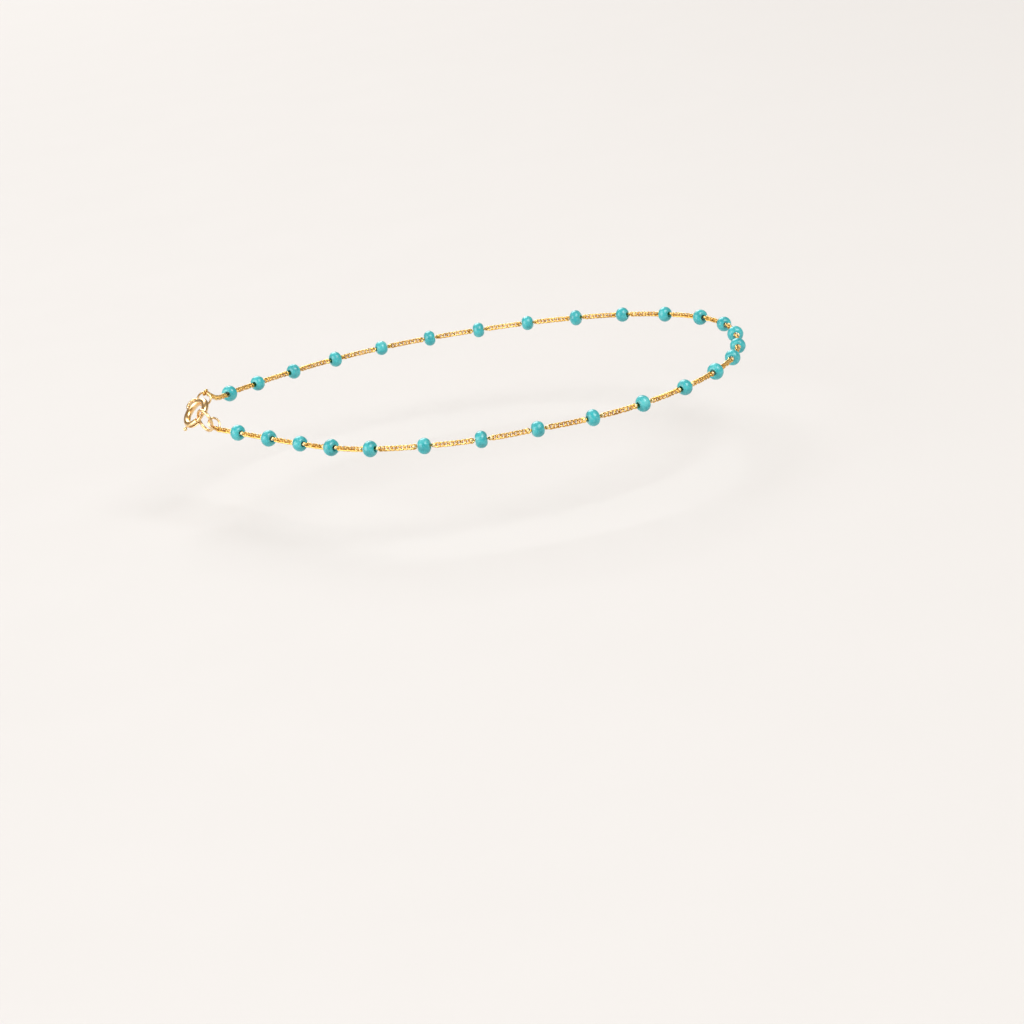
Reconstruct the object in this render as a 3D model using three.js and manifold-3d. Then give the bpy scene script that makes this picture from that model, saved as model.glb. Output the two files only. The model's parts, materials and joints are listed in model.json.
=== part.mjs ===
// Chain anklet: small drilled turquoise beads on gold wire pins, joined by short
// stretches of fine curb chain, and closed by a spring ring clasp.
// Millimetres. The origin is the middle of the loop, +Z runs up along the ankle,
// +X points to the front and -Y to the outer side. The clasp is at the back, at -X.

import * as THREE from 'three';
import { mergeVertices } from 'three/addons/utils/BufferGeometryUtils.js';
import Module from 'manifold-3d';

const wasm = await Module();
wasm.setup();

// The worn loop. Its places below are shares of half of each size, with the height in mm
const WORN_LENGTH = 82; // from the clasp to the far end
const WORN_WIDTH = 72;

// Beads
const BEAD_DIAMETER = 2.4;
const BEAD_THICKNESS = 1.75;
const BEAD_FLAT_DIAMETER = 1.1; // the flat round each mouth of the bore
const BEAD_BORE = 0.8;
const BEAD_COUNT = 28; // spaced evenly, about 8 mm from middle to middle
const BEAD_SPREAD = 0.04; // natural beads differ by this share of their size

// Wire pins through the beads, with a round loop at each end
const PIN_WIRE = 0.32;
const LOOP_OUTER = 0.95;
const LOOP_WIRE = 0.3;
const LOOP_CLEARANCE = 0.06; // from a bead's face to the loop beside it
const LOOP_SEAT = 0.05; // depth that pins and strands sink into a loop's wire
const LOOP_LEAN = 45; // degrees from upright, one way before a bead and the other way after it

// Curb chain between the loops, as one round strand of its width
const CHAIN_WIDTH = 0.74;
const LEAD_LENGTH = 5.6; // of chain and loops before the first bead's middle
const TAIL_LENGTH = 10.91; // of chain and loops after the last bead's middle
const END_LINK_OUTER = 1.2;
const END_LINK_WIRE = 0.28;
const END_LINK_TWIST = 25; // degrees

// Spring ring clasp
const CLASP_MIDDLE = [-1.0024, 0.0139, 1.8];
const CLASP_TILT = [-152.7, 37.5, -121.2]; // degrees about x, y and z
const CLASP_RADIUS = 2.0; // to the middle of its tube
const TUBE_DIAMETER = 1.05;
const TUBE_BORE = 0.7;
const GAP_START = 161; // degrees round the clasp, from the side of its eye
const GAP_END = 207;
const CLASP_EYE_ANGLE = 10;
const CLASP_EYE_OUTER = 1.75;
const CLASP_EYE_WIRE = 0.4;

// The bolt inside the clasp, with the small ball that draws it back
const BOLT_PLAY = 0.075; // between the bolt and the bore
const BOLT_DIAMETER = TUBE_BORE - 2 * BOLT_PLAY;
const BOLT_ENTRY = 6; // degrees that the closed bolt reaches into the far mouth
const BOLT_TAIL = 12; // degrees behind the stem
const STEM_ANGLE = 270;
const STEM_DIAMETER = 0.26;
const STEM_PLAY = 0.06;
const BALL_DIAMETER = 0.6;
const BALL_RISE = 0.1; // from the tube to the ball
const BOLT_TRAVEL = 50; // degrees

// Jump rings: outside diameter, wire, and where and how each one hangs.
// angle is the place on the ring that carries it, turn leans it round that wire
// and twist turns it on itself, in degrees; play is the slack inside it.
const LARGE_RING = { outer: 3.8, wire: 0.45, angle: 184, turn: 231.4, twist: -38, play: 0.12 };
const SMALL_RING = { outer: 2.1, wire: 0.32, angle: 6.9, turn: 306.8, twist: 44, play: 0.08 };
const EYE_RING = { outer: 1.8, wire: 0.3, angle: 113, turn: 258.7, twist: 22, play: 0.08 };
const THIN_RING = { outer: 2.38, wire: 0.32, angle: 27.2, turn: 293.4, twist: 13.8, play: 0.08 };
const LINK_PLAY = 0.1; // slack of the chain's end links on their rings

// The way of the string round the loop, from the small ring to the thin ring
const ROUTE = [
  [-0.8488, -0.2167, -0.3],
  [-0.6171, -0.5750, -0.3],
  [-0.5049, -0.7556, 0.0],
  [-0.3683, -0.9139, 0.3],
  [-0.1829, -0.9833, 0.1],
  [0.0122, -1.0028, -0.1],
  [0.2049, -0.9861, -0.1],
  [0.3976, -0.9472, -0.1],
  [0.5780, -0.8611, 0.0],
  [0.7366, -0.7306, 0.2],
  [0.8610, -0.5611, 0.3],
  [0.9439, -0.3583, 0.2],
  [0.9854, -0.1417, 0.0],
  [1.0000, 0.0806, 0.0],
  [0.9829, 0.2917, 0.0],
  [0.9122, 0.5056, 0.0],
  [0.7707, 0.7028, 0.0],
  [0.5707, 0.8528, 0.0],
  [0.3122, 0.9500, 0.0],
  [0.0244, 0.9806, 0.0],
  [-0.2634, 0.9472, 0.0],
  [-0.5220, 0.8389, 0.0],
  [-0.7317, 0.6556, 0.2],
  [-0.8732, 0.4333, 0.8],
  [-0.9366, 0.2389, 1.8],
];

// Facets
const BEAD_SIDES = 10;
const BEAD_ARC_STEPS = 4;
const LOOP_SIDES = 10;
const RING_SIDES = 16;
const WIRE_SIDES = 5;
const CHAIN_SIDES = 8;
const STRAND_STEP = 4; // length of chain between its sections
const TUBE_SIDES = 10;
const BORE_SIDES = 8;
const ARC_STEP = 15; // degrees between the sections of a bent tube
const EYE_SIDES = 12;
const EYE_WIRE_SIDES = 6;
const EYE_SPAN = 45; // degrees of the bore kept free of the eye's wire, each way
const BALL_SIDES = 10;
const BALL_RINGS = 6;

const QUARTER_TURN = 90; // degrees
const FULL_TURN = 360;
const UP = new THREE.Vector3(0, 0, 1);
const ALONG = new THREE.Vector3(0, 1, 0); // a lathe turns about this axis
const radians = THREE.MathUtils.degToRad;

// Materials

const gold = new THREE.MeshStandardMaterial({ color: 0xe6b45c, roughness: 0.22, metalness: 1 });
const paleGold = new THREE.MeshStandardMaterial({ color: 0xf0cd86, roughness: 0.18, metalness: 1 });
const turquoise = new THREE.MeshStandardMaterial({ color: 0x52b9bd, roughness: 0.4, metalness: 0 });

// Solids from meshes, and back

function toSolid(geometry) {
  const bare = geometry.clone();
  bare.deleteAttribute('normal');
  bare.deleteAttribute('uv');
  const welded = mergeVertices(bare, 1e-5);
  const vertProperties = welded.attributes.position.array;
  const triVerts = new Uint32Array(welded.index.array);
  return new wasm.Manifold(new wasm.Mesh({ numProp: 3, vertProperties, triVerts }));
}

function toGeometry(solid) {
  const mesh = solid.getMesh();
  const geometry = new THREE.BufferGeometry();
  geometry.setAttribute('position', new THREE.BufferAttribute(mesh.vertProperties, 3));
  geometry.setIndex(new THREE.BufferAttribute(mesh.triVerts, 1));
  geometry.computeVertexNormals();
  return geometry;
}

function fuse(geometries) {
  return toGeometry(wasm.Manifold.union(geometries.map(toSolid)));
}

function nodeMesh(name, geometry, material) {
  const mesh = new THREE.Mesh(geometry, material);
  mesh.name = name;
  return mesh;
}

// Sections and simple bodies

function roundSection(diameter, sides) {
  const points = [];
  for (let i = 0; i < sides; i += 1) {
    const angle = (2 * Math.PI * i) / sides;
    points.push(new THREE.Vector2(Math.cos(angle), Math.sin(angle)).multiplyScalar(diameter / 2));
  }
  return points;
}

// An arc about the z axis, in degrees
class Arc extends THREE.Curve {
  constructor(radius, start, end) {
    super();
    Object.assign(this, { radius, start, end });
  }

  getPoint(t, target = new THREE.Vector3()) {
    const angle = radians(this.start + t * (this.end - this.start));
    return target.set(this.radius * Math.cos(angle), this.radius * Math.sin(angle), 0);
  }
}

// A stretch of a longer curve, between two lengths along it
class Stretch extends THREE.Curve {
  constructor(whole, start, end) {
    super();
    Object.assign(this, { whole, start, end, length: whole.getLength() });
  }

  getPoint(t, target = new THREE.Vector3()) {
    const reached = this.start + t * (this.end - this.start);
    return this.whole.getPointAt(THREE.MathUtils.clamp(reached / this.length, 0, 1), target);
  }
}

function sweep(section, path, steps) {
  return new THREE.ExtrudeGeometry(new THREE.Shape(section), { steps, extrudePath: path });
}

function bentRod(diameter, sides, radius, start, end) {
  const steps = Math.ceil((end - start) / ARC_STEP);
  return sweep(roundSection(diameter, sides), new Arc(radius, start, end), steps);
}

// A straight wire from one point to another
function straightWire(from, to, diameter, sides) {
  const way = to.clone().sub(from);
  const geometry = new THREE.CylinderGeometry(diameter / 2, diameter / 2, way.length(), sides);
  geometry.applyQuaternion(new THREE.Quaternion().setFromUnitVectors(ALONG, way.normalize()));
  const middle = from.clone().add(to).multiplyScalar(0.5);
  return geometry.translate(middle.x, middle.y, middle.z);
}

// Rings of wire. A ring's x points away from what it hangs on, and its axis
// stands square to its plane.

function makeRing(middle, x, axis, { outer, wire }) {
  const y = axis.clone().cross(x).normalize();
  return { middle, x, y, axis, wire, radius: (outer - wire) / 2 };
}

function directionOn(ring, degrees) {
  const angle = radians(degrees);
  return ring.x.clone().multiplyScalar(Math.cos(angle)).addScaledVector(ring.y, Math.sin(angle));
}

function pointOn(ring, degrees) {
  return ring.middle.clone().addScaledVector(directionOn(ring, degrees), ring.radius);
}

function hangAlong(host, degrees, x, size) {
  const tangent = directionOn(host, degrees + QUARTER_TURN);
  const axis = tangent.clone().applyAxisAngle(x, radians(size.twist));
  const reach = (size.outer - size.wire) / 2 - (size.wire + host.wire) / 2 - size.play;
  const middle = pointOn(host, degrees).addScaledVector(x, reach);
  return makeRing(middle, x, axis, size);
}

function hang(host, size) {
  const tangent = directionOn(host, size.angle + QUARTER_TURN);
  const x = UP.clone().projectOnPlane(tangent).normalize();
  x.applyAxisAngle(tangent, radians(size.turn));
  return hangAlong(host, size.angle, x, size);
}

// A ring that a pull towards a target has drawn to the nearest place on its host
function hangTowards(host, target, size) {
  const pull = target.clone().sub(host.middle);
  const degrees = THREE.MathUtils.radToDeg(Math.atan2(pull.dot(host.y), pull.dot(host.x)));
  const tangent = directionOn(host, degrees + QUARTER_TURN);
  const x = target.clone().sub(pointOn(host, degrees)).projectOnPlane(tangent).normalize();
  return hangAlong(host, degrees, x, size);
}

function ringTurn(ring) {
  return new THREE.Matrix4().makeBasis(ring.x, ring.y, ring.axis);
}

function fusedLoop(ring) {
  const geometry = new THREE.TorusGeometry(ring.radius, ring.wire / 2, WIRE_SIDES, LOOP_SIDES);
  geometry.applyMatrix4(ringTurn(ring));
  return geometry.translate(ring.middle.x, ring.middle.y, ring.middle.z);
}

function ringMesh(name, ring) {
  const geometry = new THREE.TorusGeometry(ring.radius, ring.wire / 2, WIRE_SIDES, RING_SIDES);
  const mesh = nodeMesh(name, geometry, gold);
  mesh.position.copy(ring.middle);
  mesh.quaternion.setFromRotationMatrix(ringTurn(ring));
  return mesh;
}

// Clasp: a bent tube with a mouth on each side of its gap, a slot for the stem
// along its outer side, and an eye of wire soldered on

function claspBody() {
  const bend = FULL_TURN - GAP_END + GAP_START;
  const steps = Math.ceil(bend / ARC_STEP);
  const path = new Arc(CLASP_RADIUS, GAP_END, GAP_END + bend);
  const section = new THREE.Shape(roundSection(TUBE_DIAMETER, TUBE_SIDES));
  section.holes.push(new THREE.Path(roundSection(TUBE_BORE, BORE_SIDES)));
  const tube = toSolid(new THREE.ExtrudeGeometry(section, { steps, extrudePath: path }));

  // The slot runs from the mouth to just past the stem when it is drawn back
  const slotWidth = STEM_DIAMETER + 2 * STEM_PLAY;
  const slotStart = GAP_END - ARC_STEP;
  const slotEnd = STEM_ANGLE + BOLT_TRAVEL + THREE.MathUtils.radToDeg(slotWidth / CLASP_RADIUS);
  const slotSection = [
    new THREE.Vector2(0, -slotWidth / 2),
    new THREE.Vector2(TUBE_DIAMETER, -slotWidth / 2),
    new THREE.Vector2(TUBE_DIAMETER, slotWidth / 2),
    new THREE.Vector2(0, slotWidth / 2),
  ];
  const slotPath = new Arc(CLASP_RADIUS, slotStart, slotEnd);
  const slot = toSolid(
    outwardSweep(slotSection, slotPath, Math.ceil((slotEnd - slotStart) / ARC_STEP)));

  const eyeRadius = (CLASP_EYE_OUTER - CLASP_EYE_WIRE) / 2;
  const eye = new THREE.TorusGeometry(eyeRadius, CLASP_EYE_WIRE / 2, EYE_WIRE_SIDES, EYE_SIDES);
  const place = claspEyePlace();
  eye.translate(place.x, place.y, 0);
  const bore = bentRod(
    TUBE_BORE, BORE_SIDES, CLASP_RADIUS, CLASP_EYE_ANGLE - EYE_SPAN, CLASP_EYE_ANGLE + EYE_SPAN);
  return toGeometry(tube.subtract(slot).add(toSolid(eye).subtract(toSolid(bore))));
}

// A section swept round an arc with its x axis always pointing outwards
function outwardSweep(section, arc, steps) {
  const positions = [];
  const index = [];
  const count = section.length;
  for (let i = 0; i <= steps; i += 1) {
    const angle = radians(arc.start + ((arc.end - arc.start) * i) / steps);
    for (const point of section) {
      const radius = arc.radius + point.x;
      positions.push(radius * Math.cos(angle), radius * Math.sin(angle), point.y);
    }
  }
  for (let i = 0; i < steps; i += 1) {
    for (let j = 0; j < count; j += 1) {
      const near = i * count + j;
      const beside = i * count + ((j + 1) % count);
      index.push(near, beside + count, beside, near, near + count, beside + count);
    }
  }
  const last = steps * count;
  for (let j = 1; j < count - 1; j += 1) {
    index.push(0, j, j + 1, last, last + j + 1, last + j);
  }
  const geometry = new THREE.BufferGeometry();
  geometry.setAttribute('position', new THREE.Float32BufferAttribute(positions, 3));
  geometry.setIndex(index);
  return geometry;
}

function claspEyePlace() {
  const reach = CLASP_RADIUS + TUBE_DIAMETER / 2 + CLASP_EYE_OUTER / 2 - CLASP_EYE_WIRE;
  const angle = radians(CLASP_EYE_ANGLE);
  return new THREE.Vector3(reach * Math.cos(angle), reach * Math.sin(angle), 0);
}

function boltBody() {
  const rod = bentRod(
    BOLT_DIAMETER, BORE_SIDES, CLASP_RADIUS, GAP_START - BOLT_ENTRY, STEM_ANGLE + BOLT_TAIL);
  const outward = new THREE.Vector3(1, 0, 0).applyAxisAngle(UP, radians(STEM_ANGLE));
  const ballReach = CLASP_RADIUS + TUBE_DIAMETER / 2 + BALL_RISE + BALL_DIAMETER / 2;
  const foot = outward.clone().multiplyScalar(CLASP_RADIUS);
  const head = outward.clone().multiplyScalar(ballReach);
  const stem = straightWire(foot, head, STEM_DIAMETER, CHAIN_SIDES);
  const ball = new THREE.SphereGeometry(BALL_DIAMETER / 2, BALL_SIDES, BALL_RINGS);
  return fuse([rod, stem, ball.translate(head.x, head.y, head.z)]);
}

function wornPlace([along, across, height]) {
  return new THREE.Vector3((along * WORN_LENGTH) / 2, (across * WORN_WIDTH) / 2, height);
}

const claspMiddle = wornPlace(CLASP_MIDDLE);
const claspTurn = new THREE.Euler(...CLASP_TILT.map(radians));
const claspAxes = [new THREE.Vector3(), new THREE.Vector3(), new THREE.Vector3()];
new THREE.Matrix4().makeRotationFromEuler(claspTurn).extractBasis(...claspAxes);

// The places of the clasp's bolt and eye, as rings that others hang on
const boltRing = makeRing(claspMiddle, claspAxes[0], claspAxes[2], {
  outer: 2 * CLASP_RADIUS + BOLT_DIAMETER,
  wire: BOLT_DIAMETER,
});
const eyeMiddle = claspEyePlace().applyEuler(claspTurn).add(claspMiddle);
const eyeOfClasp = makeRing(eyeMiddle, claspAxes[0], claspAxes[2], {
  outer: CLASP_EYE_OUTER,
  wire: CLASP_EYE_WIRE,
});

const largeRing = hang(boltRing, LARGE_RING);
const smallRing = hang(largeRing, SMALL_RING);
const eyeRing = hang(eyeOfClasp, EYE_RING);
const thinRing = hang(eyeRing, THIN_RING);

// The string, from the middle of its first link to the middle of its last

const linkSize = { outer: END_LINK_OUTER, wire: END_LINK_WIRE, twist: END_LINK_TWIST, play: LINK_PLAY };
const routePoints = ROUTE.map(wornPlace);
const firstLink = hangTowards(smallRing, routePoints[0], linkSize);
const lastLink = hangTowards(thinRing, routePoints[routePoints.length - 1], linkSize);
const string = new THREE.CatmullRomCurve3(
  [firstLink.middle, ...routePoints, lastLink.middle], false, 'centripetal');
string.arcLengthDivisions = 3000;
const stringLength = string.getLength();
const beadPitch = (stringLength - LEAD_LENGTH - TAIL_LENGTH) / (BEAD_COUNT - 1);

function onString(length) {
  const share = length / stringLength;
  return { point: string.getPointAt(share), tangent: string.getTangentAt(share) };
}

function beadSize(i) {
  const change = BEAD_SPREAD * Math.sin(2.4 * i);
  return {
    diameter: BEAD_DIAMETER * (1 + change),
    thickness: BEAD_THICKNESS * (1 - change / 2),
  };
}

// Bead: a lathed drum with a rounded side and a flat round each mouth

function beadGeometry({ diameter, thickness }) {
  const flat = BEAD_FLAT_DIAMETER / 2;
  const bore = BEAD_BORE / 2;
  const profile = [new THREE.Vector2(bore, -thickness / 2)];
  for (let i = 0; i <= BEAD_ARC_STEPS; i += 1) {
    const angle = Math.PI * (i / BEAD_ARC_STEPS - 0.5);
    const radius = flat + (diameter / 2 - flat) * Math.cos(angle);
    profile.push(new THREE.Vector2(radius, (thickness / 2) * Math.sin(angle)));
  }
  profile.push(new THREE.Vector2(bore, thickness / 2));
  profile.push(profile[0].clone());
  return new THREE.LatheGeometry(profile, BEAD_SIDES);
}

// Chain: every pin, loop and strand between the two end links, as one body

function loopAt(place, offset, turn) {
  const middle = place.point.clone().addScaledVector(place.tangent, offset);
  const side = UP.clone().projectOnPlane(place.tangent).normalize();
  const axis = side.applyAxisAngle(place.tangent, radians(turn));
  return makeRing(middle, place.tangent, axis, { outer: LOOP_OUTER, wire: LOOP_WIRE });
}

function chainParts() {
  const parts = [fusedLoop(firstLink), fusedLoop(lastLink)];
  const loopReach = LOOP_OUTER - LOOP_SEAT;
  const linkReach = END_LINK_OUTER / 2 - LOOP_SEAT;
  let start = linkReach;
  const strand = (from, to) => {
    const steps = Math.max(1, Math.round((to - from) / STRAND_STEP));
    parts.push(sweep(roundSection(CHAIN_WIDTH, CHAIN_SIDES), new Stretch(string, from, to), steps));
  };
  for (let i = 0; i < BEAD_COUNT; i += 1) {
    const middle = LEAD_LENGTH + i * beadPitch;
    const place = onString(middle);
    const half = beadSize(i).thickness / 2 + LOOP_CLEARANCE;
    const offset = half + LOOP_OUTER / 2;
    const pinReach = place.tangent.clone().multiplyScalar(half + LOOP_SEAT);
    parts.push(fusedLoop(loopAt(place, -offset, LOOP_LEAN)));
    parts.push(fusedLoop(loopAt(place, offset, -LOOP_LEAN)));
    parts.push(straightWire(
      place.point.clone().sub(pinReach), place.point.clone().add(pinReach), PIN_WIRE, WIRE_SIDES));
    strand(start, middle - half - loopReach);
    start = middle + half + loopReach;
  }
  strand(start, stringLength - linkReach);
  return parts;
}

// Assembly

const anklet = new THREE.Group();

const clasp = new THREE.Group();
clasp.position.copy(claspMiddle);
clasp.rotation.copy(claspTurn);
clasp.add(nodeMesh('clasp_ring', claspBody(), paleGold));
clasp.add(nodeMesh('clasp_bolt', boltBody(), gold));
anklet.add(clasp);

anklet.add(ringMesh('large_ring', largeRing));
anklet.add(ringMesh('small_ring', smallRing));
anklet.add(ringMesh('eye_ring', eyeRing));
anklet.add(ringMesh('thin_ring', thinRing));

anklet.add(nodeMesh('chain', fuse(chainParts()), gold));

for (let i = 0; i < BEAD_COUNT; i += 1) {
  const place = onString(LEAD_LENGTH + i * beadPitch);
  const name = `bead_${String(i + 1).padStart(2, '0')}`;
  const bead = nodeMesh(name, beadGeometry(beadSize(i)), turquoise);
  bead.position.copy(place.point);
  bead.quaternion.setFromUnitVectors(ALONG, place.tangent);
  anklet.add(bead);
}

export default anklet;
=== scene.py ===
# %% [markdown]
# # A chain anklet with turquoise beads
#
# The real thing is a fine gold chain, 85 mm across, worn as one closed loop. Every 8 mm it is
# broken by a turquoise bead on a pin of gold wire, and a spring ring clasp and four jump rings
# close it. CAD gives the places and the sizes of all of them. Here each solid gets the shape
# and the finish that a camera would see, and stays where its solid is.

# %% Load the frame
import json
import math

import bmesh
import bpy
import numpy as np
from mathutils import Euler, Matrix, Vector, noise


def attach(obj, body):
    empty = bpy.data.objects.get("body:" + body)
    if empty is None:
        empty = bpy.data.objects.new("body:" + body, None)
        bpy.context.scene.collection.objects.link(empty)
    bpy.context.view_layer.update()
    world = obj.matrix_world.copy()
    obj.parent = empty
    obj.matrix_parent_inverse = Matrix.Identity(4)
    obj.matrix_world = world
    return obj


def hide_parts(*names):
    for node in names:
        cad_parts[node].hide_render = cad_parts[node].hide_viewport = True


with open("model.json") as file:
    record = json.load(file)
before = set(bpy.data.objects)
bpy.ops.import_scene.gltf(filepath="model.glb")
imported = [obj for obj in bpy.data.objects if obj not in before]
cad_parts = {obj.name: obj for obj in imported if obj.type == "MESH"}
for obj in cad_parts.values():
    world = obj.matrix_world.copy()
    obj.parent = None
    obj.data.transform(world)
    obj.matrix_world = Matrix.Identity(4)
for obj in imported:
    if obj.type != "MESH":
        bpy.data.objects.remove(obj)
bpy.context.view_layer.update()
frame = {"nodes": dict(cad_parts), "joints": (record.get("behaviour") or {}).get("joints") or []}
NODES = frame["nodes"]
MM = 0.001
BEAD_NAMES = sorted(name for name in NODES if name.startswith("bead_"))

# %% [markdown]
# ## The camera
#
# The photograph looks a little down on the loop, with the camera rolled to one side. A camera
# can be aimed by a constraint or by its own matrix. The matrix is used, because three axes and
# a place say all of it: the view turns about the camera's own axis, so nothing has to shift.

# %% Place the camera
CAMERA_RISE = math.radians(13)
CAMERA_ROLL = math.radians(-9.1825)
CAMERA_REACH = 456 * MM
AIM_RIGHT = 6.5541 * MM
AIM_UP = -19.6334 * MM
LENS, SENSOR = 106.59, 36
NEAREST = 10 * MM

back = Vector((0, -math.cos(CAMERA_RISE), math.sin(CAMERA_RISE)))
level = Vector((1, 0, 0))
above = back.cross(level)
right = level * math.cos(CAMERA_ROLL) + above * math.sin(CAMERA_ROLL)
up = above * math.cos(CAMERA_ROLL) - level * math.sin(CAMERA_ROLL)
eye = back * CAMERA_REACH
back = (eye - right * AIM_RIGHT - up * AIM_UP).normalized()
right = up.cross(back).normalized()
up = back.cross(right)

camera_data = bpy.data.cameras.new("camera")
camera_data.lens = LENS
camera_data.sensor_width = SENSOR
camera_data.clip_start = NEAREST
camera = bpy.data.objects.new("camera", camera_data)
camera.matrix_world = Matrix.Translation(eye) @ Matrix((right, up, back)).transposed().to_4x4()
bpy.context.scene.collection.objects.link(camera)
bpy.context.scene.camera = camera
print("camera at", [round(c, 4) for c in eye])

# %% [markdown]
# ## Shader maths as sums
#
# A finish is made of fields, such as a mask or a height, that are added and multiplied. Nodes
# can be wired one by one, which takes a page, or wrapped so that a sum on fields adds its own
# Math nodes. The wrapper is short, and what it makes is the same tree.


# %% Wrap a socket
class Field:
    """A value that varies over a surface: an output socket that can be used in a sum."""

    def __init__(self, tree, socket=None):
        self.tree, self.socket = tree, socket

    def node(self, kind, settings=None, values=None, output=0):
        """Any node, by its type, its settings and the values or fields of its sockets."""
        made = self.tree.nodes.new(kind)
        for key, value in (settings or {}).items():
            if key == "stops":
                ramp = made.color_ramp.elements
                while len(ramp) < len(value):
                    ramp.new(0.5)
                for stop, (place, colour) in zip(ramp, value):
                    stop.position, stop.color = place, colour
            else:
                setattr(made, key, value)
        for key, value in (values or {}).items():
            if isinstance(value, Field):
                self.tree.links.new(value.socket, made.inputs[key])
            else:
                made.inputs[key].default_value = value
        return Field(self.tree, made.outputs[output])

    def sum(self, operation, first, second):
        return self.node("ShaderNodeMath", {"operation": operation}, {0: first, 1: second})

    def __add__(self, other):
        return self.sum("ADD", self, other)

    def __mul__(self, other):
        return self.sum("MULTIPLY", self, other)

    def __rsub__(self, other):
        return self.sum("SUBTRACT", other, self)

    __radd__ = __add__
    __rmul__ = __mul__


def noise_field(start, place, scale, detail=2.0, distortion=0.0):
    """Soft grey noise from 0 to 1, of that many cells a metre."""
    return start.node(
        "ShaderNodeTexNoise", None,
        {"Vector": place, "Scale": scale, "Detail": detail, "Distortion": distortion})


def new_finish(name):
    """A material with a Principled shader, its first field and its object coordinates."""
    material = bpy.data.materials.new(name)
    material.use_nodes = True
    start = Field(material.node_tree)
    place = start.node("ShaderNodeTexCoord", output=3)
    return material, material.node_tree.nodes["Principled BSDF"], start, place


def feed(shader, **fields):
    """Link fields to the shader's sockets, whose names are given with _ for a space."""
    for name, field in fields.items():
        field.tree.links.new(field.socket, shader.inputs[name.replace("_", " ").title()])


print("wrapper ready")

# %% [markdown]
# ## Gold
#
# Polished gold wire shows fine drawing marks and a soft haze where it has been handled, and it
# is paler where it is rubbed bright. One colour and one roughness would look like plastic. A
# broad noise changes the tone and the haze, and a fine one is the bump. The clasp and its rings
# are of a paler alloy than the chain, so the recipe takes its two tones. The small drops of
# gold beside the beads are rougher, and their paler tones are painted brightness, as if bright
# surroundings lit them all over.


# %% Make the gold finishes
TONE_CELLS, MARK_CELLS = 900, 9000  # noise cells to the metre
MARK_DEPTH, MARK_STRENGTH = 0.02 * MM, 0.12
HAZE_CHANGE = 0.12


def gold_finish(name, deep, pale, haze):
    """Gold between two tones, with at least that much haze."""
    material, shader, start, place = new_finish(name)
    broad = noise_field(start, place, TONE_CELLS, detail=3.0)
    fine = noise_field(start, place, MARK_CELLS, distortion=0.6)
    tone = start.node("ShaderNodeValToRGB", {"stops": [(0.3, deep), (0.7, pale)]}, {"Fac": broad})
    relief = start.node(
        "ShaderNodeBump", None,
        {"Strength": MARK_STRENGTH, "Distance": MARK_DEPTH, "Height": fine})
    feed(shader, base_color=tone, roughness=haze + HAZE_CHANGE * broad * fine, normal=relief)
    shader.inputs["Metallic"].default_value = 1.0
    return material


CHAIN_GOLD = gold_finish(
    "chain_gold", deep=(0.66, 0.38, 0.080, 1), pale=(0.90, 0.62, 0.22, 1), haze=0.20)
CLASP_GOLD = gold_finish(
    "clasp_gold", deep=(0.88, 0.56, 0.23, 1), pale=(0.97, 0.74, 0.42, 1), haze=0.25)
# The drops' pale tones are painted brightness that stands in for light falling on them, and their
# higher haze makes them duller.
DROP_GOLD_PAINTED_BRIGHT = gold_finish(
    "drop_gold_painted_bright", deep=(0.92, 0.68, 0.34, 1), pale=(0.98, 0.80, 0.50, 1), haze=0.34)
print("finishes", CHAIN_GOLD.name, CLASP_GOLD.name, DROP_GOLD_PAINTED_BRIGHT.name)

# %% [markdown]
# ## Turquoise
#
# The stone is an opaque blue green with paler clouds, thin veins and a waxy polish. An image
# would give the clouds, but noise gives them without a seam and to any bead. Three noises are
# used: one chooses between the deep and the pale blue, one draws the veins where it crosses
# its middle value, and a fine one is the grain in the polish. All beads share the finish, and
# each lies in another part of the pattern, so no two match.

# %% Make the turquoise finish
CLOUD_CELLS, GRAIN_CELLS, VEIN_CELLS = 700, 6000, 1500
DEEP_BLUE, MIDDLE_BLUE = (0.006, 0.30, 0.34, 1), (0.022, 0.43, 0.47, 1)
PALE_BLUE, VEIN_BLUE = (0.10, 0.55, 0.57, 1), (0.30, 0.60, 0.57, 1)
BLACK, WHITE = (0, 0, 0, 1), (1, 1, 1, 1)
VEIN_SHOW = 0.35  # how much of the vein's colour shows
VEIN_SINK = 0.5  # how far the veins lie below, in heights of the grain
GRAIN_DEPTH, GRAIN_STRENGTH = 0.04 * MM, 0.25
WAX, WAX_CHANGE = 0.32, 0.18  # roughness, and what the grain adds to it

turquoise, stone, start, place = new_finish("turquoise")
clouds = noise_field(start, place, CLOUD_CELLS, detail=3.0, distortion=0.4)
grain = noise_field(start, place, GRAIN_CELLS, detail=3.0)
veins = noise_field(start, place, VEIN_CELLS, detail=4.0, distortion=2.0)
body = start.node(
    "ShaderNodeValToRGB",
    {"stops": [(0.32, DEEP_BLUE), (0.55, MIDDLE_BLUE), (0.75, PALE_BLUE)]},
    {"Fac": clouds})
vein_mask = start.node(
    "ShaderNodeValToRGB",
    {"stops": [(0.46, BLACK), (0.5, WHITE), (0.54, BLACK)]},
    {"Fac": veins})
veined = start.node(
    "ShaderNodeMix", {"data_type": "RGBA"},
    {"Factor": VEIN_SHOW * vein_mask, "A": body, "B": VEIN_BLUE}, output=2)
relief = start.node(
    "ShaderNodeBump", None,
    {"Strength": GRAIN_STRENGTH, "Distance": GRAIN_DEPTH,
     "Height": grain + VEIN_SINK * (1 - vein_mask)})
feed(stone, base_color=veined, roughness=WAX + WAX_CHANGE * grain, normal=relief)
stone.inputs["Coat Weight"].default_value = 0.5
stone.inputs["Coat Roughness"].default_value = 0.2
print("finish", turquoise.name)

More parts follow.
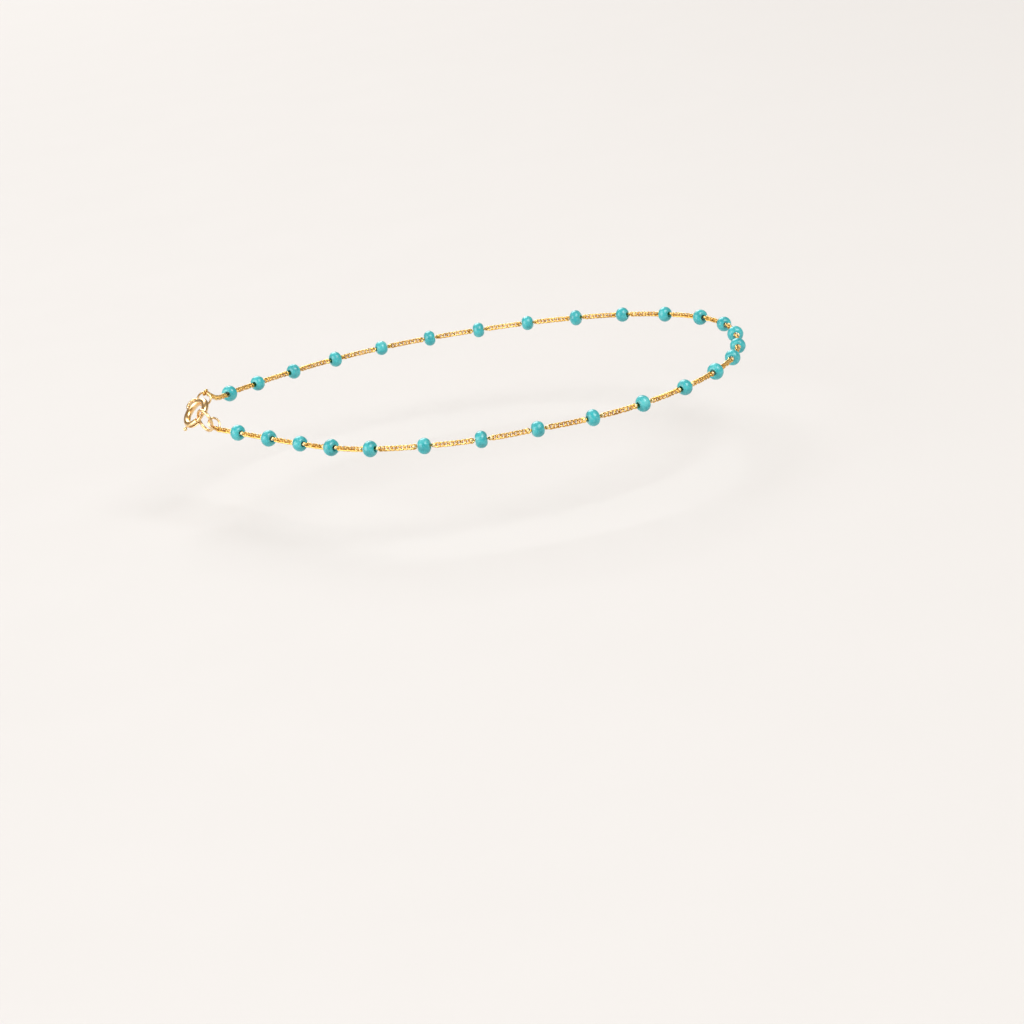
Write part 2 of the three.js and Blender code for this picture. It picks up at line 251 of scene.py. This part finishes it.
# %% [markdown]
# ## Where the pieces are
#
# The places are read from the solids. A bead's or a ring's middle is the mean of its points.
# Its axis is the direction in which the points spread by another amount than in the other two,
# which an eigenvector of their spread gives. Typing the places again would also work, but a
# reading can't drift from the solid.


# %% Read the frames of beads and rings
def points_of(name):
    """The points of a solid, in metres."""
    return np.array([v.co for v in NODES[name].data.vertices])


def turned_about(name):
    """The middle and the axis of a turned solid, such as a bead or a ring, in mm."""
    points = points_of(name) / MM
    spread, ways = np.linalg.eigh(np.cov((points - points.mean(0)).T))
    axis = ways[:, 0] if spread[1] - spread[0] > spread[2] - spread[1] else ways[:, 2]
    along = (points - points.mean(0)) @ axis
    middle = points.mean(0) + axis * (along.max() + along.min()) / 2
    across = np.linalg.norm(points - middle - np.outer((points - middle) @ axis, axis), axis=1)
    return {"middle": Vector(middle), "axis": Vector(axis), "depth": along.max() - along.min(),
            "outer": 2 * across.max(), "inner": 2 * across.min()}


beads = [turned_about(name) for name in BEAD_NAMES]
for bead, ahead in zip(beads, beads[1:] + [None]):
    way = ahead["middle"] - bead["middle"] if ahead else bead["middle"] - beads[-2]["middle"]
    if bead["axis"].dot(way) < 0:
        bead["axis"] = -bead["axis"]
print("bead 1", [round(c, 2) for c in beads[0]["middle"]], "thick", round(beads[0]["depth"], 2))

# %% [markdown]
# ## Helpers for modelling by operators
#
# Operators act on what is selected, so each step first selects what it means. The pieces are
# modelled with 1 unit for 1 mm at the origin, where every size is easy to read, and are put
# in their place at the end, in metres.


# %% Select, finish and place
MERGE = 0.0005  # mm within which two points are one
SMOOTH_ANGLE = 50  # degrees above which an edge stays sharp


def choose(piece):
    """Make the piece the only selected object, in object mode."""
    if bpy.context.object and bpy.context.object.mode != "OBJECT":
        bpy.ops.object.mode_set(mode="OBJECT")
    bpy.ops.object.select_all(action="DESELECT")
    if piece:
        piece.select_set(True)
        bpy.context.view_layer.objects.active = piece


def added(name):
    """The primitive that was just added, named, with its place in its mesh."""
    piece = bpy.context.object
    piece.name = name
    choose(piece)
    bpy.ops.object.transform_apply(location=True, rotation=True, scale=True)
    return piece


def pick(piece, kind, test):
    """In edit mode, select only the faces, edges or verts whose points all pass the test."""
    bpy.ops.mesh.select_mode(type={"faces": "FACE", "edges": "EDGE", "verts": "VERT"}[kind])
    bpy.ops.mesh.select_all(action="DESELECT")
    mesh = bmesh.from_edit_mesh(piece.data)
    count = 0
    for element in getattr(mesh, kind):
        corners = [element.co] if kind == "verts" else [v.co for v in element.verts]
        if all(test(corner) for corner in corners):
            element.select = True
            count += 1
    mesh.select_flush_mode()
    bmesh.update_edit_mesh(piece.data)
    return count


def modify(piece, kind, **settings):
    """Add a modifier and apply it."""
    choose(piece)
    modifier = piece.modifiers.new(kind.lower(), kind)
    for key, value in settings.items():
        setattr(modifier, key, value)
    bpy.ops.object.modifier_apply(modifier=modifier.name)


def round_edges(piece, width, segments=2, sharper_than=60):
    """Bevel the edges that bend by more than that many degrees."""
    modify(piece, "BEVEL", width=width, segments=segments, limit_method="ANGLE",
           angle_limit=math.radians(sharper_than))


def close_up(piece):
    """Fill open ends, merge doubles and point all faces outwards."""
    choose(piece)
    bpy.ops.object.mode_set(mode="EDIT")
    bpy.ops.mesh.select_all(action="SELECT")
    bpy.ops.mesh.remove_doubles(threshold=MERGE)
    bpy.ops.mesh.fill_holes(sides=0)
    bpy.ops.mesh.normals_make_consistent(inside=False)
    bpy.ops.object.mode_set(mode="OBJECT")


def copy_at(piece, matrix):
    """A copy of a piece with its own mesh, turned and placed in mm."""
    copy = piece.copy()
    copy.data = piece.data.copy()
    copy.data.transform(matrix)
    bpy.context.scene.collection.objects.link(copy)
    return copy


def joined(name, pieces):
    """Several pieces as one."""
    choose(pieces[0])
    for piece in pieces:
        piece.select_set(True)
    bpy.ops.object.join()
    whole = bpy.context.object
    whole.name = whole.data.name = name
    return whole


def finish_piece(piece, material, slot, body, *nodes):
    """Scale a piece from mm to metres, smooth it, dress it, and tie it to the frame."""
    piece.data.transform(Matrix.Scale(MM, 4))
    choose(piece)
    bpy.ops.object.shade_smooth_by_angle(angle=math.radians(SMOOTH_ANGLE))
    piece.data.materials.clear()
    piece.data.materials.append(material)
    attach(piece, body)
    if nodes:
        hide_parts(*nodes)
    return piece


def facing(middle, x, axis):
    """The matrix that puts a piece's x and z along these directions, at that middle."""
    y = axis.cross(x).normalized()
    return Matrix.Translation(middle) @ Matrix((x, y, axis)).transposed().to_4x4()


print("helpers ready")

# %% [markdown]
# ## The beads
#
# A bead is a small drum with a round side, a flat round each mouth and a wide drilled bore. It
# could be a squashed sphere, but a sphere has no bore. So a cylinder's ends are inset to the
# width of the bore and taken out, the two holes are bridged, and the rims are bevelled. A cut
# round the middle gives the widest ring, without which the bead comes out too small. The
# levels of the side are then drawn in to an oval, as tumbling wears it. No two stones are the
# same: a soft noise moves the surface of each.

# %% Model one bead
BEAD_OUTER, BEAD_DEPTH, BEAD_BORE, BEAD_FLAT = 2.4, 1.75, 0.8, 0.98
BEAD_SIDES = 28
BORE_ROUND = 0.09  # the worn rim of the bore
ROUNDNESS = 1.9  # 2 is a true oval, and less is more pointed
NEAR = 0.02  # mm of slack when points are picked by their place

side_wall = (BEAD_OUTER - BEAD_FLAT) / 2
choose(None)
bpy.ops.mesh.primitive_cylinder_add(vertices=BEAD_SIDES, radius=BEAD_OUTER / 2, depth=BEAD_DEPTH)
bead_model = added("bead_model")
bpy.ops.object.mode_set(mode="EDIT")
for end in (-1, 1):
    pick(bead_model, "faces", lambda v: v.z * end > BEAD_DEPTH / 2 - NEAR)
    bpy.ops.mesh.inset(thickness=(BEAD_OUTER - BEAD_BORE) / 2)
    bpy.ops.mesh.delete(type="FACE")
pick(bead_model, "edges", lambda v: v.xy.length < BEAD_BORE / 2 + NEAR)
bpy.ops.mesh.bridge_edge_loops()
for end in (-1, 1):
    pick(bead_model, "edges",
         lambda v: v.xy.length > BEAD_OUTER / 2 - NEAR and v.z * end > BEAD_DEPTH / 2 - NEAR)
    bpy.ops.mesh.bevel(offset=side_wall, segments=6, affect="EDGES")
    pick(bead_model, "edges",
         lambda v: v.xy.length < BEAD_BORE / 2 + NEAR and v.z * end > BEAD_DEPTH / 2 - NEAR)
    bpy.ops.mesh.bevel(offset=BORE_ROUND, segments=2, affect="EDGES")
bpy.ops.mesh.select_all(action="SELECT")
bpy.ops.mesh.bisect(plane_co=(0, 0, 0), plane_no=(0, 0, 1))
close_up(bead_model)
for vertex in bead_model.data.vertices:
    out = vertex.co.xy.length
    if out > BEAD_FLAT / 2 + NEAR:
        height = min(1.0, abs(vertex.co.z) / (BEAD_DEPTH / 2))
        oval = BEAD_FLAT / 2 + side_wall * (1 - height ** ROUNDNESS) ** (1 / ROUNDNESS)
        vertex.co.xy *= oval / out
modify(bead_model, "SUBSURF", levels=1, render_levels=1)
print("bead faces", len(bead_model.data.polygons))

# %% Copy it to every bead
LUMP, LUMPS = 0.015, 0.8  # mm that the tumbled surface moves, and how often to the mm
NOISE_START, NOISE_STEP = 1.7, 7.3  # each bead reads another part of the noise

turquoise_beads = []
for number, (name, bead) in enumerate(zip(BEAD_NAMES, beads)):
    piece = copy_at(bead_model, Matrix.Diagonal((
        bead["outer"] / BEAD_OUTER, bead["outer"] / BEAD_OUTER, bead["depth"] / BEAD_DEPTH, 1)))
    for vertex in piece.data.vertices:
        swell = noise.noise(vertex.co * LUMPS + Vector((number * NOISE_STEP, NOISE_START, 0)))
        vertex.co += vertex.normal * LUMP * swell
    side = Vector((0, 0, 1)).cross(bead["axis"]).normalized()
    piece.data.transform(facing(bead["middle"], side, bead["axis"]))
    piece.name = piece.data.name = f"stone_{name}"
    turquoise_beads.append(finish_piece(piece, turquoise, "turquoise", "anklet", name))
bpy.data.objects.remove(bead_model)
print("beads", len(turquoise_beads))

# %% [markdown]
# ## Pins and loops
#
# A pin of wire runs through each bead and is bent into a round loop at both ends, and a drop of
# gold closes each loop on its outer side, where it shines as a small ball beside the bead. A
# torus would be a closed ring without a tip. The loop is a round section spun most of the way
# round, and the drop is a small sphere laid on its outer side.


# %% Spin a wire ring
DOWN = (0, 0, -1)  # spin turns clockwise about its axis, so this one turns it from x to y


def wire_ring(name, outer, wire, sweep, sides, steps):
    """A round wire bent about z from the x axis, through sweep degrees, with closed ends."""
    choose(None)
    bpy.ops.mesh.primitive_circle_add(
        vertices=sides, radius=wire / 2, location=((outer - wire) / 2, 0, 0),
        rotation=(math.pi / 2, 0, 0))
    ring = added(name)
    bpy.ops.object.mode_set(mode="EDIT")
    bpy.ops.mesh.select_all(action="SELECT")
    bpy.ops.mesh.spin(steps=steps, angle=math.radians(sweep), center=(0, 0, 0), axis=DOWN)
    bpy.ops.object.mode_set(mode="OBJECT")
    close_up(ring)
    return ring


def turned(piece, degrees, axis="Z"):
    """Turn a finished mesh about one of its own axes."""
    piece.data.transform(Matrix.Rotation(math.radians(degrees), 4, axis))
    return piece


LOOP_OUTER, LOOP_WIRE, PIN_WIRE = 0.95, 0.3, 0.32
LOOP_CLEARANCE = 0.06
LOOP_SWEEP = 325
LOOP_LEAN = 45  # degrees from upright, one way before a bead and the other way after it
DROP = 0.46
DROP_OUT, DROP_UP = 0.30, 0.12  # from the middle of the loop
loop_model = turned(
    wire_ring("loop_model", LOOP_OUTER, LOOP_WIRE, LOOP_SWEEP, sides=8, steps=18), 180)
choose(None)
bpy.ops.mesh.primitive_uv_sphere_add(segments=12, ring_count=8, radius=DROP / 2)
drop_model = added("drop_model")
print("loop faces", len(loop_model.data.polygons), "drop faces", len(drop_model.data.polygons))

# %% Place pins and loops
UP = Vector((0, 0, 1))


def side_of(way):
    """Upwards, as seen along a direction."""
    return (UP - way * UP.dot(way)).normalized()


def around(way, degrees):
    """The side of a direction, turned about it."""
    return Matrix.Rotation(math.radians(degrees), 3, way) @ side_of(way)


choose(None)
bpy.ops.mesh.primitive_cylinder_add(vertices=10, radius=PIN_WIRE / 2, depth=1)
pin_model = turned(added("pin_model"), 90, "Y")
pins, drops = [], []
for bead in beads:
    way = bead["axis"]
    outward = way.cross(UP).normalized()
    half = bead["depth"] / 2 + LOOP_CLEARANCE
    bead["loops"] = []
    pins.append(copy_at(pin_model, facing(bead["middle"], way, side_of(way))
                        @ Matrix.Diagonal((2 * half + LOOP_WIRE, 1, 1, 1))))
    for end, turn in ((-1, LOOP_LEAN), (1, -LOOP_LEAN)):
        middle = bead["middle"] + way * end * (half + LOOP_OUTER / 2)
        axis = around(way, turn)
        pins.append(copy_at(loop_model, facing(middle, way * end, axis)))
        drop_place = middle + outward * DROP_OUT + UP * DROP_UP
        drops.append(copy_at(drop_model, Matrix.Translation(drop_place)))
        bead["loops"].append({"middle": middle, "turn": turn, "outer": LOOP_OUTER,
                              "wire": LOOP_WIRE})
wire_pins = finish_piece(joined("wire_pins", pins), CHAIN_GOLD, "gold", "anklet")
finish_piece(joined("gold_drops", drops), DROP_GOLD_PAINTED_BRIGHT, "gold", "anklet")
for model in (loop_model, drop_model, pin_model):
    bpy.data.objects.remove(model)
print("pins and loops", len(pins), "drops", len(drops), "faces", len(wire_pins.data.polygons))

# %% [markdown]
# ## The jump rings
#
# Four plain rings of bent wire join the chain to the clasp. Each is cut and pressed shut, and
# the cut shows as a fine line. They are spun like the loops, but almost all the way round, and
# their ends get a small bevel that catches the light.

# %% Model the jump rings
CUT = 1.2  # degrees that stay open at the cut
CUT_ROUND = 0.02  # the bevel of its two ends
FIVE_SIDED = 1 + math.cos(math.pi / 5)  # the depth of the solids' five-sided wire, in radii
RING_CUTS = {"large_ring": 95, "small_ring": 40, "eye_ring": 200, "thin_ring": 250}
rings = {}
for name, cut in RING_CUTS.items():
    ring = turned_about(name)
    wire = (ring["outer"] - ring["inner"]) / FIVE_SIDED
    ring["wire"] = wire
    rings[name] = ring
    piece = wire_ring(f"jump_{name}", ring["outer"], wire, 360 - CUT, sides=14, steps=60)
    round_edges(piece, CUT_ROUND)
    turned(piece, cut)
    piece.data.transform(facing(ring["middle"], side_of(ring["axis"]), ring["axis"]))
    finish_piece(piece, CLASP_GOLD, "gold", "anklet", name)
    print(name, "outer", round(ring["outer"], 2), "wire", round(wire, 2))

# %% [markdown]
# ## The end links
#
# At each end of the chain a round link hangs on its jump ring, drawn to the side that the
# chain pulls from. The same rule as in CAD puts it there: the nearest place on the host's wire,
# then out along the pull.


# %% Hang the end links
END_OUTER, END_WIRE, END_TWIST, END_PLAY = 1.2, 0.28, 25, 0.1
END_SWEEP = 357


def hang_towards(host, target):
    """An end link's middle and axis, on a host ring and pulled towards a target."""
    pull = target - host["middle"]
    way = (pull - host["axis"] * pull.dot(host["axis"])).normalized()
    contact = host["middle"] + way * (host["outer"] - host["wire"]) / 2
    tangent = host["axis"].cross(way)
    out = target - contact
    out = (out - tangent * out.dot(tangent)).normalized()
    reach = (END_OUTER - END_WIRE) / 2 - (END_WIRE + host["wire"]) / 2 - END_PLAY
    axis = Matrix.Rotation(math.radians(END_TWIST), 3, out) @ tangent
    return {"middle": contact + out * reach, "x": out, "axis": axis, "outer": END_OUTER,
            "wire": END_WIRE}


TAIL_ROUTE = [Vector((-38.4, 8.6, 1.8))]  # where the last stretch bends, in mm
first_link = hang_towards(rings["small_ring"], beads[0]["middle"])
last_link = hang_towards(rings["thin_ring"], TAIL_ROUTE[-1])
end_model = wire_ring("end_model", END_OUTER, END_WIRE, END_SWEEP, sides=10, steps=30)
end_links = [copy_at(end_model, facing(link["middle"], link["x"], link["axis"]))
             for link in (first_link, last_link)]
bpy.data.objects.remove(end_model)
print("end links", [[round(c, 2) for c in link["middle"]] for link in (first_link, last_link)])

# %% [markdown]
# ## The curb chain
#
# Between two beads run close curb links: ovals of round wire, each twisted by a quarter turn so
# that they lie flat in each other. A single link is modelled and copied along the chain. It
# starts as a torus of few faces, its ends are moved apart, and a twist turns them against each
# other. An array along a curve would stretch the links, so each copy is placed by its own
# matrix, in the link before it.

# %% Model one curb link
LINK_LENGTH, LINK_WIDTH, LINK_WIRE, LINK_TWIST = 1.12, 0.84, 0.23, 90
LINK_PITCH = LINK_LENGTH - 2 * LINK_WIRE  # the length inside a link, the most for two that meet
SWAY, SWAY_STEP = 13, 1.9  # degrees that a link may lean, and radians from link to link

bow = (LINK_WIDTH - LINK_WIRE) / 2
straight = (LINK_LENGTH - LINK_WIDTH) / 2
choose(None)
bpy.ops.mesh.primitive_torus_add(
    major_segments=16, minor_segments=8, major_radius=bow, minor_radius=LINK_WIRE / 2)
link_model = added("link_model")
bpy.ops.object.mode_set(mode="EDIT")
for end in (-1, 1):
    pick(link_model, "verts", lambda v: v.x * end > NEAR)
    bpy.ops.transform.translate(value=(straight * end, 0, 0))
bpy.ops.object.mode_set(mode="OBJECT")
modify(link_model, "SIMPLE_DEFORM", deform_method="TWIST", deform_axis="X",
       angle=math.radians(LINK_TWIST))
print("link faces", len(link_model.data.polygons))


# %% Follow a smooth path
def smooth_path(points, first_way, last_way, steps=24):
    """Points of a smooth curve through the given points, and the lengths along it."""
    ways = [first_way, *[(b - a).normalized() for a, b in zip(points, points[2:])], last_way]
    path = []
    for a, b, way_a, way_b in zip(points, points[1:], ways, ways[1:]):
        span = (b - a).length
        for i in range(steps):
            t = i / steps
            path.append(a * (2 * t**3 - 3 * t**2 + 1) + b * (3 * t**2 - 2 * t**3)
                        + way_a * span * (t**3 - 2 * t**2 + t) + way_b * span * (t**3 - t**2))
    path.append(points[-1])
    lengths = [0.0]
    for a, b in zip(path, path[1:]):
        lengths.append(lengths[-1] + (b - a).length)
    return path, lengths


def at_length(path, lengths, length):
    """The point and the direction of a path at a length along it."""
    i = max(1, min(len(path) - 1, sum(1 for reached in lengths if reached < length)))
    step = path[i] - path[i - 1]
    return path[i - 1] + step * (length - lengths[i - 1]) / step.length, step.normalized()


print("path helpers ready")


# %% Hang links from one ring to another
TOUCH = 0.005  # mm that the first link stays off its ring


def link_reach(ring):
    """How far beyond a ring's middle the first link's middle lies."""
    gap = (LINK_WIRE + ring["wire"]) / 2 + TOUCH
    return (ring["outer"] - ring["wire"]) / 2 - gap + (LINK_LENGTH - LINK_WIRE) / 2


def run_links(near, far, points, first_way, last_way):
    """Curb links from one ring to another, along a path between their middles."""
    path, lengths = smooth_path(points, first_way, last_way)
    start, stop = link_reach(near), lengths[-1] - link_reach(far)
    count = math.ceil((stop - start) / LINK_PITCH)
    turn_start = near["turn"] + 90 + LINK_TWIST / 2
    turn_stop = far["turn"] + 90 - LINK_TWIST / 2
    turn_stop -= 180 * round((turn_stop - turn_start) / 180)
    for i in range(count + 1):
        share = i / count
        point, way = at_length(path, lengths, start + (stop - start) * share)
        turn = turn_start + (turn_stop - turn_start) * share
        turn += SWAY * math.sin(SWAY_STEP * len(links))
        links.append(copy_at(link_model, facing(point, way, around(way, turn))))


def turn_of(axis, way):
    """The angle of a ring's axis about a direction, from that direction's side."""
    side = side_of(way)
    return math.degrees(math.atan2(axis.dot(way.cross(side)), axis.dot(side)))


print("links hang", round(link_reach(first_link), 3), "mm from the middle of an end link")

# %% Run the links along the chain
links = []
lead_way = (beads[0]["middle"] - first_link["middle"]).normalized()
first_link["turn"] = turn_of(first_link["axis"], lead_way)
loop = beads[0]["loops"][0]
run_links(first_link, loop, [first_link["middle"], loop["middle"]], lead_way, beads[0]["axis"])
for bead, ahead in zip(beads, beads[1:]):
    near, far = bead["loops"][1], ahead["loops"][0]
    run_links(near, far, [near["middle"], far["middle"]], bead["axis"], ahead["axis"])
tail_way = (last_link["middle"] - TAIL_ROUTE[-1]).normalized()
last_link["turn"] = turn_of(last_link["axis"], tail_way)
loop = beads[-1]["loops"][1]
run_links(loop, last_link, [loop["middle"], *TAIL_ROUTE, last_link["middle"]],
          beads[-1]["axis"], tail_way)
bpy.data.objects.remove(link_model)
curb_chain = joined("curb_chain", links + end_links)
finish_piece(curb_chain, CHAIN_GOLD, "gold", "anklet", "chain")
print("links", len(links), "faces", len(curb_chain.data.polygons))

# %% [markdown]
# ## The spring ring clasp
#
# The clasp is a bent tube with a gap. A bolt slides in it, pushed shut by a spring inside, and
# a stem with a ball sticks out through a slot for the thumbnail. The tube could be a torus with
# a boolean cut, which leaves long thin faces. Here a round section is spun to a tube, the faces
# of the slot are deleted in whole rows, and Solidify gives the wall and its clean rims. A bent
# ring of wire, open where it meets the tube, is the eye.

# %% Model the tube and its slot
CLASP_MIDDLE = Vector(frame["joints"][0]["pos_m"]) / MM
CLASP_TURN = Euler([math.radians(a) for a in (-152.7, 37.5, -121.2)], "ZYX").to_matrix()
CLASP_PLACE = Matrix.Translation(CLASP_MIDDLE) @ CLASP_TURN.to_4x4()
CLASP_RADIUS, TUBE_OUTER, TUBE_BORE = 2.0, 1.05, 0.7
GAP_START, GAP_END, SLOT_END = 161, 207, 331  # degrees round the clasp
TUBE_SIDES, TUBE_STEPS = 24, 72
SLOT_HALF = 0.21  # half the width within which faces are taken out
SLOT_OUT = 0.46 * TUBE_OUTER  # from the middle of the tube outwards

choose(None)
bpy.ops.mesh.primitive_circle_add(
    vertices=TUBE_SIDES, radius=TUBE_OUTER / 2, location=(CLASP_RADIUS, 0, 0),
    rotation=(math.pi / 2, 0, 0))
tube = added("clasp_tube")
turned_section = Matrix.Translation((CLASP_RADIUS, 0, 0)) @ Matrix.Rotation(
    math.pi / TUBE_SIDES, 4, "Y") @ Matrix.Translation((-CLASP_RADIUS, 0, 0))
tube.data.transform(turned_section)
turned(tube, GAP_END)
bpy.ops.object.mode_set(mode="EDIT")
bpy.ops.mesh.select_all(action="SELECT")
bpy.ops.mesh.spin(steps=TUBE_STEPS, angle=math.radians(360 - GAP_END + GAP_START),
                  center=(0, 0, 0), axis=DOWN)
bpy.ops.mesh.select_all(action="SELECT")
bpy.ops.mesh.normals_make_consistent(inside=False)


def in_slot(v):
    """On the outermost three rows of the tube, before the slot's end."""
    angle = math.degrees(math.atan2(v.y, v.x)) % 360
    return (v.xy.length > CLASP_RADIUS + SLOT_OUT and abs(v.z) < SLOT_HALF
            and GAP_END - 1 < angle < SLOT_END)


slot_faces = pick(tube, "faces", in_slot)
bpy.ops.mesh.delete(type="FACE")
bpy.ops.object.mode_set(mode="OBJECT")
print("slot faces taken out", slot_faces)

# %% Thicken it and add the eye
RIM_ROUND = 0.025
modify(tube, "SOLIDIFY", thickness=(TUBE_OUTER - TUBE_BORE) / 2, offset=-1)
round_edges(tube, RIM_ROUND, sharper_than=50)
EYE_OUTER, EYE_WIRE, EYE_ANGLE, EYE_SWEEP = 1.75, 0.4, 10, 300
eye_reach = CLASP_RADIUS + TUBE_OUTER / 2 + EYE_OUTER / 2 - EYE_WIRE
clasp_eye = wire_ring("clasp_eye", EYE_OUTER, EYE_WIRE, EYE_SWEEP, sides=12, steps=40)
turned(clasp_eye, -EYE_SWEEP / 2)
clasp_eye.data.transform(Matrix.Rotation(math.radians(EYE_ANGLE), 4, "Z")
                         @ Matrix.Translation((eye_reach, 0, 0)))
clasp_ring = joined("spring_ring", [tube, clasp_eye])
clasp_ring.data.transform(CLASP_PLACE)
finish_piece(clasp_ring, CLASP_GOLD, "gold", "anklet", "clasp_ring")
print("clasp z axis", [round(c, 4) for c in CLASP_TURN.col[2]])

# %% [markdown]
# ## The bolt
#
# The bolt is a bent rod with a rounded tip that bridges the gap, and it carries the stem and
# the ball. It slides in the tube, so it rides on its own body and stays free of the clasp.

# %% Model the bolt, its stem and its ball
BOLT_WIRE = 0.55
BOLT_START, BOLT_END, STEM_ANGLE = 155, 282, 270  # degrees round the clasp
STEM_WIRE, BALL, BALL_RISE = 0.26, 0.6, 0.1
TIP_ROUND = 0.12

rod = wire_ring("bolt_rod", 2 * CLASP_RADIUS + BOLT_WIRE, BOLT_WIRE, BOLT_END - BOLT_START,
                sides=14, steps=40)
round_edges(rod, TIP_ROUND, segments=3)
turned(rod, BOLT_START)
ball_reach = CLASP_RADIUS + TUBE_OUTER / 2 + BALL_RISE + BALL / 2
choose(None)
bpy.ops.mesh.primitive_cylinder_add(
    vertices=12, radius=STEM_WIRE / 2, depth=ball_reach - CLASP_RADIUS,
    location=((ball_reach + CLASP_RADIUS) / 2, 0, 0), rotation=(0, math.pi / 2, 0))
stem = added("bolt_stem")
bpy.ops.mesh.primitive_uv_sphere_add(
    segments=20, ring_count=12, radius=BALL / 2, location=(ball_reach, 0, 0))
ball = added("bolt_ball")
thumb = joined("bolt_thumb", [stem, ball])
turned(thumb, STEM_ANGLE)
bolt = joined("spring_bolt", [rod, thumb])
bolt.data.transform(CLASP_PLACE)
finish_piece(bolt, CLASP_GOLD, "gold", "bolt", "clasp_bolt")
print("bolt faces", len(bolt.data.polygons))

# %% [markdown]
# ## Floor and light
#
# The piece floats a little above a plain pale floor, on which it throws a soft shadow.
# Jewellery is lit by large soft boxes, because polished gold shows what is round it: a strong
# light from the right and above, a weaker one from the left, and one behind for the rims.
# Between them the gold mirrors a dim warm world, which makes its darker parts.

# %% Lay the floor
FLOOR_DROP, FLOOR_SIDE = 14 * MM, 6
FLOOR_GREY = (0.62, 0.615, 0.61, 1)  # lit, it looks nearly white
FLOOR_CELLS, FLOOR_ROUGH, FLOOR_CHANGE = 40, 0.7, 0.1

choose(None)
bpy.ops.mesh.primitive_plane_add(size=FLOOR_SIDE, location=(0, 0, -FLOOR_DROP))
floor = bpy.context.object
floor.name = "floor"
floor_finish, floor_shader, start, place = new_finish("pale_floor")
floor_shader.inputs["Base Color"].default_value = FLOOR_GREY
feed(floor_shader,
     roughness=FLOOR_ROUGH + FLOOR_CHANGE * noise_field(start, place, FLOOR_CELLS))
floor.data.materials.append(floor_finish)
print("floor at", -FLOOR_DROP)


# %% Hang the lights
WORLD_TONE, WORLD_STRENGTH = (1, 0.80, 0.62, 1), 0.26


def soft_box(name, place, size, power):
    """A square light that looks at the anklet."""
    light = bpy.data.lights.new(name, "AREA")
    light.size, light.energy = size, power
    box = bpy.data.objects.new(name, light)
    box.location = place
    box.rotation_euler = (-Vector(place)).to_track_quat("-Z", "Y").to_euler()
    bpy.context.scene.collection.objects.link(box)


soft_box("key", (0.90, -1.00, 1.50), size=1.10, power=33)
soft_box("side", (-1.30, -0.60, 0.35), size=1.40, power=24)
soft_box("rim", (-0.30, 1.60, 1.40), size=1.20, power=30)
world = bpy.data.worlds.new("studio")
bpy.context.scene.world = world
world.use_nodes = True
background = world.node_tree.nodes["Background"]
background.inputs["Color"].default_value = WORLD_TONE
background.inputs["Strength"].default_value = WORLD_STRENGTH
bpy.context.scene.view_settings.view_transform = "Standard"

# %% [markdown]
# ## The end
#

# %% Finish
print("done")
